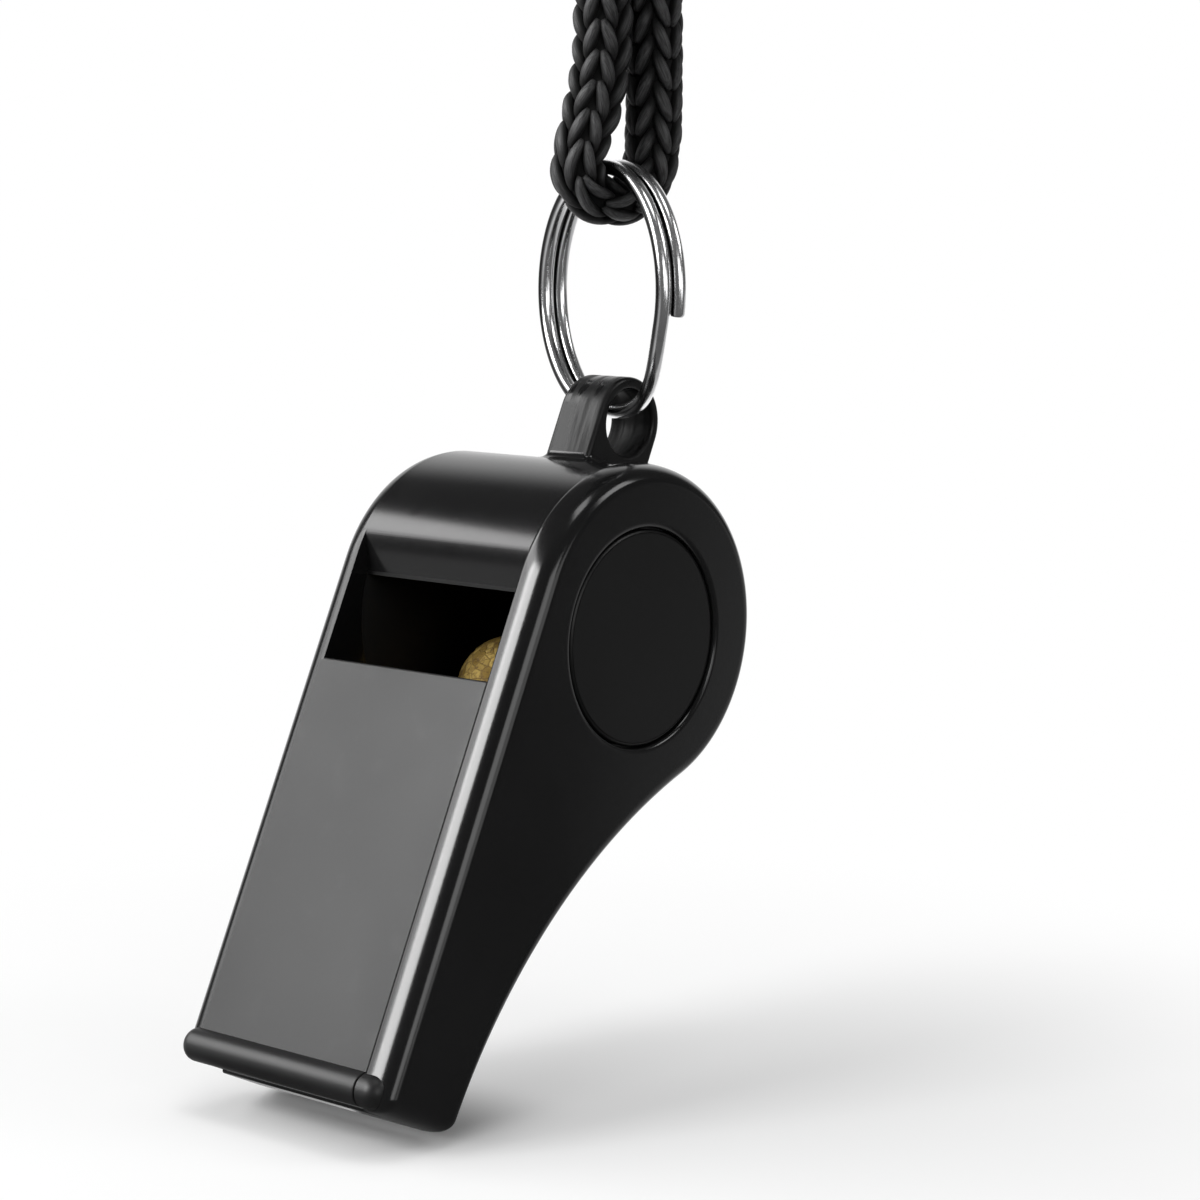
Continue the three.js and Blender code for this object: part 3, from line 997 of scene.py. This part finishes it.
# How the stitches stand round the cord, and how the cord is pressed where it turns under the ring
WALES = 4
CORE_RADIUS = 1.4
CORE_SIDES = 24
CORE_RINGS = 4.0
FIRST_WALE = 141
WALE_TWIST = 32
SNUG_HALF = 1.6
SNUG_WIDE = 2.1
SNUG_NEAR = 2
SNUG_FAR = 4


def beside_ring(sideways, height, forward=0.0):
    """A place given in millimetres from the ring's top."""
    return RING_TOP + (-RING_AXIS * sideways + RING_ALONG * forward + UP * height) * MM


def smooth_path(points):
    """A Catmull-Rom line through the points, close enough together to have its length."""
    ends = [points[0] * 2 - points[1]] + points + [points[-1] * 2 - points[-2]]
    path = []
    for a, b, c, d in zip(ends, ends[1:], ends[2:], ends[3:]):
        for i in range(ROUTE_STEPS):
            t = i / ROUTE_STEPS
            path.append(
                (b * 2 + (c - a) * t + (a * 2 - b * 5 + c * 4 - d) * t * t
                 + (b * 3 - a - c * 3 + d) * t ** 3) / 2
            )
    path.append(points[-1])
    return path


def path_length(path):
    return sum((b - a).length for a, b in zip(path, path[1:]))


def arm_loop(bm, strand, hand, t):
    """The loop of corners round one arm of a stitch, t of the way from its start to its foot."""
    along = STITCH_PITCH * (ARM_LENGTH * t + ARM_START)
    turn = hand * math.radians(ARM_TURN[0] + (ARM_TURN[1] - ARM_TURN[0]) * t)
    rise = CORD_RADIUS - ARM_SUNK - ARM_DIVE * t ** DIVE_POWER - ARM_DIP * (1 - t) ** DIP_POWER
    plump = math.sin(math.pi * (ARM_CUT + (1 - 2 * ARM_CUT) * t)) ** ARM_BLUNT
    centre = Vector((rise * math.cos(turn), rise * math.sin(turn), along))
    outward = Vector((math.cos(turn), math.sin(turn), 0))
    sideways = Vector((-math.sin(turn), math.cos(turn), -hand * ARM_SLANT)).normalized()
    loop = []
    for side in range(ARM_SIDES):
        angle = 2 * math.pi * side / ARM_SIDES
        out, across = math.sin(angle) * plump, math.cos(angle) * plump
        vert = bm.verts.new((centre + outward * out * ARM_DEEP + sideways * across * ARM_WIDE) * MM)
        vert[strand] = (along, out, across)
        loop.append(vert)
    return loop


def stitch_mesh():
    """One knitted stitch in the cord's own axes, in metres: two fat arms that meet at its start.

    z runs along the cord, x outwards from its middle. Each arm starts proud at the wale's middle
    line and dives at its foot. The strand attribute runs along and round each arm.
    """
    bm = bmesh.new()
    strand = bm.verts.layers.float_vector.new("strand")
    for hand in (-1, 1):
        loops = [arm_loop(bm, strand, hand, i / ARM_STEPS) for i in range(ARM_STEPS + 1)]
        for near, far in zip(loops, loops[1:]):
            for side in range(ARM_SIDES):
                other = (side + 1) % ARM_SIDES
                bm.faces.new((near[side], near[other], far[other], far[side]))
        bm.faces.new(loops[0])
        bm.faces.new(loops[-1])
    bmesh.ops.recalc_face_normals(bm, faces=bm.faces)
    mesh = bpy.data.meshes.new("stitch")
    bm.to_mesh(mesh)
    bm.free()
    mesh.shade_smooth()
    return mesh


# Knitting

KNIT_INPUTS = {
    "Path": "Object",
    "Stitch": "Object",
    "Courses": "Int",
    "Wales": "Int",
    "Pitch": "Float",
    "Length": "Float",
    "Core Radius": "Float",
    "First Turn": "Float",
    "Twist": "Float",
    "Reference": "Vector",
    "Press Centre": "Vector",
    "Press Near": "Float",
    "Press Far": "Float",
    "Pressed Half": "Float",
    "Pressed Wide": "Float",
    "Material": "Material",
}
UNPRESSED = {
    "Press Centre": Vector((0, 0, -1)),
    "Press Near": 0.0,
    "Press Far": MM,
    "Pressed Half": 1.0,
    "Pressed Wide": 1.0,
}
SNUG_UNDER_RING = {
    "Press Centre": RING_TOP,
    "Press Near": SNUG_NEAR * MM,
    "Press Far": SNUG_FAR * MM,
    "Pressed Half": SNUG_HALF / CORD_RADIUS,
    "Pressed Wide": SNUG_WIDE / CORD_RADIUS,
}


def straight_knit(graph, given):
    """Stitches set in courses round a plain core, along a straight cord that stands on the origin."""
    courses, wales, pitch, length = (given.beside(name) for name in ("Courses", "Wales", "Pitch", "Length"))
    stitch = graph.node("GeometryNodeObjectInfo", None, Object=given.beside("Stitch"), output="Geometry")
    points = graph.node("GeometryNodePoints", None, Count=courses * wales)
    index = graph.node("GeometryNodeInputIndex")
    course = (index / wales).math("FLOOR")
    wale = index.math("MODULO", wales)
    along = (course + 0.5) * pitch + wale.math("MODULO", 2.0) * (pitch * 0.5)
    turn = wale * (2 * math.pi / wales)
    turn = turn + (given.beside("First Turn") + along / length * given.beside("Twist"))
    place = graph.node("ShaderNodeCombineXYZ", None, Z=along)
    spin = graph.node("ShaderNodeCombineXYZ", None, Z=turn)
    placed = graph.node("GeometryNodeSetPosition", None, Geometry=points, Position=place)
    laid = graph.node("GeometryNodeInstanceOnPoints", None, Points=placed, Instance=stitch, Rotation=spin)
    core = graph.node(
        "GeometryNodeMeshCylinder", {"fill_type": "TRIANGLE_FAN"}, Vertices=CORE_SIDES,
        Side_Segments=courses * CORE_RINGS, Radius=given.beside("Core Radius"), Depth=length,
    )
    middle = graph.node("ShaderNodeCombineXYZ", None, Z=length * 0.5)
    lifted = graph.node("GeometryNodeTransform", None, Geometry=core, Translation=middle)
    both = graph.node("GeometryNodeJoinGeometry", None, lifted)
    graph.feed(both.output.node.inputs[0], laid)
    return graph.node("GeometryNodeRealizeInstances", None, Geometry=both)


def bent_place(graph, given):
    """Where a point of the straight cord goes on the path: pressed thinner and broader near one place."""
    path = graph.node(
        "GeometryNodeObjectInfo", {"transform_space": "RELATIVE"},
        Object=given.beside("Path"), output="Geometry",
    )
    x = graph.node("ShaderNodeSeparateXYZ", None, graph.node("GeometryNodeInputPosition"))
    along = x.beside("Z").clamp(0.0, given.beside("Length"))
    middle = graph.node(
        "GeometryNodeSampleCurve", {"mode": "LENGTH"}, Curves=path, Length=along, output="Position"
    )
    tangent = graph.vector("NORMALIZE", middle.beside("Tangent"))
    reference = given.beside("Reference")
    lean = graph.scaled(tangent, graph.measure("DOT_PRODUCT", reference, tangent))
    wide = graph.vector("NORMALIZE", graph.vector("SUBTRACT", reference, lean))
    flat = graph.vector("CROSS_PRODUCT", wide, tangent)
    distance = graph.measure("DISTANCE", middle, given.beside("Press Centre"))
    free = distance.between(given.beside("Press Near"), given.beside("Press Far"))
    thin = free.ramp(given.beside("Pressed Half"), 1.0)
    broad = free.ramp(given.beside("Pressed Wide"), 1.0)
    move_wide = graph.scaled(wide, x * broad)
    move_flat = graph.scaled(flat, x.beside("Y") * thin)
    return graph.vector("ADD", middle, graph.vector("ADD", move_wide, move_flat))


def knit_tree():
    """The tree that knits a straight cord and carries it along the path curve."""
    tree = bpy.data.node_groups.new("knitted_cord", "GeometryNodeTree")
    tree.interface.new_socket("Geometry", in_out="INPUT", socket_type="NodeSocketGeometry")
    for label, kind in KNIT_INPUTS.items():
        tree.interface.new_socket(label, in_out="INPUT", socket_type="NodeSocket" + kind)
    tree.interface.new_socket("Geometry", in_out="OUTPUT", socket_type="NodeSocketGeometry")
    graph = Graph(tree)
    given = graph.node("NodeGroupInput")
    plain = straight_knit(graph, given)
    carried = graph.node(
        "GeometryNodeSetPosition", None, Geometry=plain, Position=bent_place(graph, given)
    )
    realized = graph.node("GeometryNodeRealizeInstances", None, Geometry=carried)
    dressed = graph.node(
        "GeometryNodeSetMaterial", None, Geometry=realized, Material=given.beside("Material")
    )
    group_output = tree.nodes.new("NodeGroupOutput")
    graph.feed(group_output.inputs[0], dressed)
    return tree


def path_curve(name, path):
    data = bpy.data.curves.new(name, "CURVE")
    data.dimensions = "3D"
    spline = data.splines.new("POLY")
    spline.points.add(len(path) - 1)
    for point, place in zip(spline.points, path):
        point.co = (*place, 1)
    return new_object(name, data)


def knitted(name, tree, stitch, path, finish, reference, first_turn, twist=0.0, press=UNPRESSED):
    """A plain mesh of knitted cord along a path of points in metres.

    The wales are counted round from the direction reference, starting first_turn from it, in radians.
    """
    length = path_length(path)
    courses = max(1, round(length / (STITCH_PITCH * MM)))
    route = path_curve(name + "_path", path)
    carrier = new_object(name + "_carrier", bpy.data.meshes.new(name + "_carrier"))
    modifier = carrier.modifiers.new("knit", "NODES")
    modifier.node_group = tree
    values = {
        "Path": route, "Stitch": stitch, "Courses": courses, "Wales": WALES, "Pitch": length / courses,
        "Length": length, "Core Radius": CORE_RADIUS * MM, "First Turn": first_turn, "Twist": twist,
        "Reference": reference, "Material": finish, **press,
    }
    for socket in tree.interface.items_tree:
        if socket.name in values:
            modifier[socket.identifier] = values[socket.name]
    carrier.update_tag()
    bpy.context.view_layer.update()
    depsgraph = bpy.context.evaluated_depsgraph_get()
    mesh = bpy.data.meshes.new_from_object(carrier.evaluated_get(depsgraph))
    bpy.data.objects.remove(carrier)
    bpy.data.objects.remove(route)
    mesh.shade_smooth()
    return mesh


# Lanyard's pieces

def make_cord(tree, stitch, route, finish):
    first_turn, twist = math.radians(FIRST_WALE), math.radians(WALE_TWIST)
    mesh = knitted(
        "cord", tree, stitch, route, finish, -RING_ALONG, first_turn, twist, press=SNUG_UNDER_RING
    )
    mesh.name = "knitted_cord"
    piece = new_object("knitted_cord", mesh)
    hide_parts("lanyard_cord")
    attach(piece, "lanyard")
    return piece


def knot_strand(sideways):
    """One of the two straight strands that pass up through the knot."""
    top = -RING_TOP.z / MM
    path = []
    for i in range(STRAND_STEPS + 1):
        path.append(beside_ring(sideways, KNOT_BOTTOM + (top - KNOT_BOTTOM) * i / STRAND_STEPS))
    return path


def knot_wraps(left, right):
    """The turns round both strands, with their two ends tucked in against them."""
    middle = (left + right) / 2
    half_depth = 2 * CORD_RADIUS - KNOT_PRESS
    half_width = half_depth + (right - left) / 2
    path = []
    for step in range(KNOT_TURNS * WRAP_STEPS + 1):
        turns = step / WRAP_STEPS
        angle = 2 * math.pi * turns
        tuck = 1 - smooth(turns / TUCK_TURN) + smooth(1 - (KNOT_TURNS - turns) / TUCK_TURN)
        reach = 1 - TUCK_SHARE * tuck
        height = KNOT_BOTTOM + WRAPS_ABOVE + CORD_RADIUS + KNOT_PITCH * turns
        path.append(beside_ring(
            middle + math.cos(angle) * half_width * reach, height, math.sin(angle) * half_depth * reach
        ))
    return path


def make_knot(tree, stitch, finish):
    """The knot that closes the cord's loop: two strands and the turns round them, in one mesh."""
    left, right = CORD_ROUTE[0][0], CORD_ROUTE[-1][0]
    knot = bmesh.new()
    for path, reference in (
        (knot_strand(left), -RING_ALONG),
        (knot_strand(right), -RING_ALONG),
        (knot_wraps(left, right), UP),
    ):
        knot.from_mesh(knitted("knot", tree, stitch, path, finish, reference, KNOT_FIRST_TURN))
    mesh = bpy.data.meshes.new("wound_knot")
    knot.to_mesh(mesh)
    knot.free()
    mesh.shade_smooth()
    piece = new_object("wound_knot", mesh, finish)
    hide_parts("lanyard_knot")
    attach(piece, "lanyard")
    return piece


def make_lanyard(finish):
    tree = knit_tree()
    stitch = new_object("stitch", stitch_mesh())
    route = smooth_path([beside_ring(*point) for point in CORD_ROUTE])
    cord = make_cord(tree, stitch, route, finish)
    knot = make_knot(tree, stitch, finish)
    bpy.data.objects.remove(stitch)
    path_length(route)


# Stage

# Directions over the table, as the camera looks
BEHIND = Vector((0.75, 0.66, 0)).normalized()
LEFT = Vector((-0.74, 0.67, 0)).normalized()

# How far a mirrored ray turns toward the backdrop before it sees white, and the dim room's level
FACING_BACKDROP = (0.64, 0.88)
STUDIO_LEVEL = 0.1

# The table: its size, and how its levels change with distance and direction from the mouth's foot
FLOOR_REACH = 1.5
FLOOR_GAP = 0.0003
TABLE_COLOUR = (0.8, 0.8, 0.8, 1)
TABLE_ROUGHNESS = 0.6
WHITE_AT_FOOT = 0.4
WHITE_FADE = (0.03, 0.085)
# Mirrored, the table is lighter to the left as a painted pool of the bank's light, and held dark near the
# foot as painted shadow
LEFT_PAINTED_LIGHT = 0.4
LEFT_TURN = (0.5, 0.9)
LEFT_FADE = (0.012, 0.04)
BEHIND_LEVEL = 0.35
BEHIND_TURN = (0.12, 0.3)

# The lit patch round the mouth's contact line: where its edges start and end, in mm in front of the
# line and past its two ends
CLEAR_IN_FRONT = (3, 14)
CLEAR_BEHIND = (-12, -2)
CLEAR_NEAR_END = (-3, 3)
CLEAR_FAR_END = (-2, 6)


def near_contact(finish, from_foot):
    """1 along the line where the whistle stands, so that only lit table shows its shadow there."""
    in_front = finish.measure("DOT_PRODUCT", from_foot, (-1 / MM, 0, 0))
    toward_near_end = finish.measure("DOT_PRODUCT", from_foot, (0, -1 / MM, 0))
    half = -RIGHT_FACE
    past_front = in_front.between(*CLEAR_IN_FRONT)
    past_near = toward_near_end.between(half + CLEAR_NEAR_END[0], half + CLEAR_NEAR_END[1])
    past_far = (toward_near_end * -1).between(half + CLEAR_FAR_END[0], half + CLEAR_FAR_END[1])
    return (1 - past_front) * (1 - past_near) * (1 - past_far) * in_front.between(*CLEAR_BEHIND)


def white_table(foot):
    """Lit near the whistle's foot, where it takes the shadow, and plain white to the camera beyond.

    Polished surfaces see it white behind the whistle, dark on the side toward the camera, and lighter to the
    left as a painted pool of the bank's light, which is held dark near the foot as painted shadow.
    """
    finish = Finish("white_table")
    finish.surface(Base_Color=TABLE_COLOUR, Roughness=TABLE_ROUGHNESS, Specular_IOR_Level=0.0)
    from_foot = finish.vector("SUBTRACT", finish.place(), foot)
    heading_away = finish.vector("NORMALIZE", from_foot)
    distance = finish.measure("LENGTH", from_foot)
    behind = finish.measure("DOT_PRODUCT", heading_away, BEHIND)
    to_left = finish.measure("DOT_PRODUCT", heading_away, LEFT)
    # painted pool of the bank's light on the mirrored table, kept dark near the foot as painted shadow
    left = to_left.between(*LEFT_TURN) * distance.between(*LEFT_FADE)
    camera, mirror = finish.rays()
    level = left * LEFT_PAINTED_LIGHT + behind.between(*BEHIND_TURN) * BEHIND_LEVEL + STUDIO_LEVEL
    white = finish.node("ShaderNodeEmission", None, WHITE, 1.0)
    dim = finish.node("ShaderNodeEmission", None, WHITE, level)
    share = camera * (distance.between(*WHITE_FADE) * (1 - WHITE_AT_FOOT) + WHITE_AT_FOOT)
    share = share * (1 - near_contact(finish, from_foot))
    lit = finish.blend(share, Socket(finish, finish.bsdf.outputs[0]), white)
    polished = finish.blend(behind.between(*FACING_BACKDROP), dim, white)
    surface = finish.blend(mirror, lit, polished)
    finish.feed(finish.tree.nodes["Material Output"].inputs["Surface"], surface)
    return finish.material


def add_floor():
    foot = WHISTLE @ Vector((MOUTH_REACH, MOUTH_UNDERSIDE, 0))
    mesh = bpy.data.meshes.new("floor")
    corners = []
    for x, y in ((-1, -1), (1, -1), (1, 1), (-1, 1)):
        corners.append((x * FLOOR_REACH, y * FLOOR_REACH, foot.z - FLOOR_GAP))
    mesh.from_pydata(corners, [], [(0, 1, 2, 3)])
    floor = new_object("floor", mesh, white_table(foot))


def add_world():
    """White to the camera, and to polished surfaces that face the backdrop; a dim room elsewhere."""
    world = bpy.data.worlds.new("studio")
    bpy.context.scene.world = world
    world.use_nodes = True
    graph = Graph(world.node_tree)
    room = graph.tree.nodes["Background"]
    room.inputs["Color"].default_value = WHITE
    room.inputs["Strength"].default_value = STUDIO_LEVEL
    white = graph.node("ShaderNodeBackground", None, WHITE, 1.0)
    camera, mirror = graph.rays()
    toward = graph.node("ShaderNodeTexCoord", output="Generated")
    behind = graph.measure("DOT_PRODUCT", toward, BEHIND).between(*FACING_BACKDROP)
    share = camera.math("MAXIMUM", mirror * behind)
    surface = graph.blend(share, Socket(graph, room.outputs[0]), white)
    graph.feed(graph.tree.nodes["World Output"].inputs["Surface"], surface)


# Lamps

# The bank's distance and azimuth, and each strip's elevation and radiance, then the other distances
BANK_AWAY = 0.6
BANK_TURN = 126
BANK_STRIPS = ((14.5, 2.4), (27, 4.4), (39.5, 6))
SMALL_LAMP_AWAY = 0.7
OVERHEAD_AWAY = 0.8


def softbox(name, azimuth, elevation, distance, wide, high, radiance, mirrored=True):
    """A rectangular lamp that faces the whistle, from a direction and with two spans in degrees."""
    around, above = math.radians(azimuth), math.radians(elevation)
    toward = Vector((math.cos(above) * math.cos(around), math.cos(above) * math.sin(around), math.sin(above)))
    toward.normalize()
    size = [2 * distance * math.tan(math.radians(angle / 2)) for angle in (wide, high)]
    data = bpy.data.lights.new(name, "AREA")
    data.shape = "RECTANGLE"
    data.size, data.size_y = size
    data.energy = radiance * math.pi * size[0] * size[1]
    lamp = bpy.data.objects.new(name, data)
    lamp.location = BARREL + toward * distance
    lamp.rotation_euler = (-toward).to_track_quat("-Z", "Y").to_euler()
    lamp.visible_glossy = mirrored
    bpy.context.scene.collection.objects.link(lamp)


def add_lights():
    """A bank of softboxes to the left, brighter upward and toward the camera, then five other lamps."""
    softbox("bank_near", 157, 28, BANK_AWAY, wide=19, high=26, radiance=15)
    for elevation, radiance in BANK_STRIPS:
        softbox(f"bank_{elevation:.0f}", BANK_TURN, elevation, BANK_AWAY, wide=43, high=12, radiance=radiance)
    softbox("front_left", -111, 17, SMALL_LAMP_AWAY, wide=28, high=22, radiance=2.6)
    softbox("front_right", -83, 6, SMALL_LAMP_AWAY, wide=26, high=20, radiance=1.3)
    softbox("high_right", -52, 37, SMALL_LAMP_AWAY, wide=18, high=20, radiance=4)
    softbox("high_top", -100, 78, SMALL_LAMP_AWAY, wide=14, high=20, radiance=4)
    softbox("overhead", 45, 80, OVERHEAD_AWAY, wide=50, high=50, radiance=1.0, mirrored=False)


def main():
    add_camera()
    make_lanyard(black_yarn())
    satin = moulded_plastic("satin_black_plastic", level=0.006, roughness=0.5, clouding=0.16, pebble=0.5)
    gloss = moulded_plastic("gloss_black_plastic", level=0.005, roughness=0.16, clouding=0.05, pebble=0.25)
    plain = moulded_plastic(
        "disc_black_plastic", level=0.003, roughness=0.36, clouding=0.06, pebble=0.6, gleam=0.35
    )
    soft = moulded_plastic("rubbed_black_plastic", level=0.006, roughness=0.42, clouding=0.1, pebble=0.6)
    dragged = moulded_plastic(
        "dragged_black_plastic", level=0.004, roughness=0.33, clouding=0.06, pebble=0.3, drag=0.5, gleam=0.26
    )
    make_shell([satin, gloss, soft, dragged])
    make_cover([gloss, soft])
    make_disc("right", RIGHT_FACE, plain)
    make_disc("left", LEFT_FACE, plain)
    make_pea(bare_cork())
    make_ring(bright_steel())
    add_floor()
    add_lights()
    add_world()
    bpy.context.scene.view_settings.view_transform = "Standard"


main()
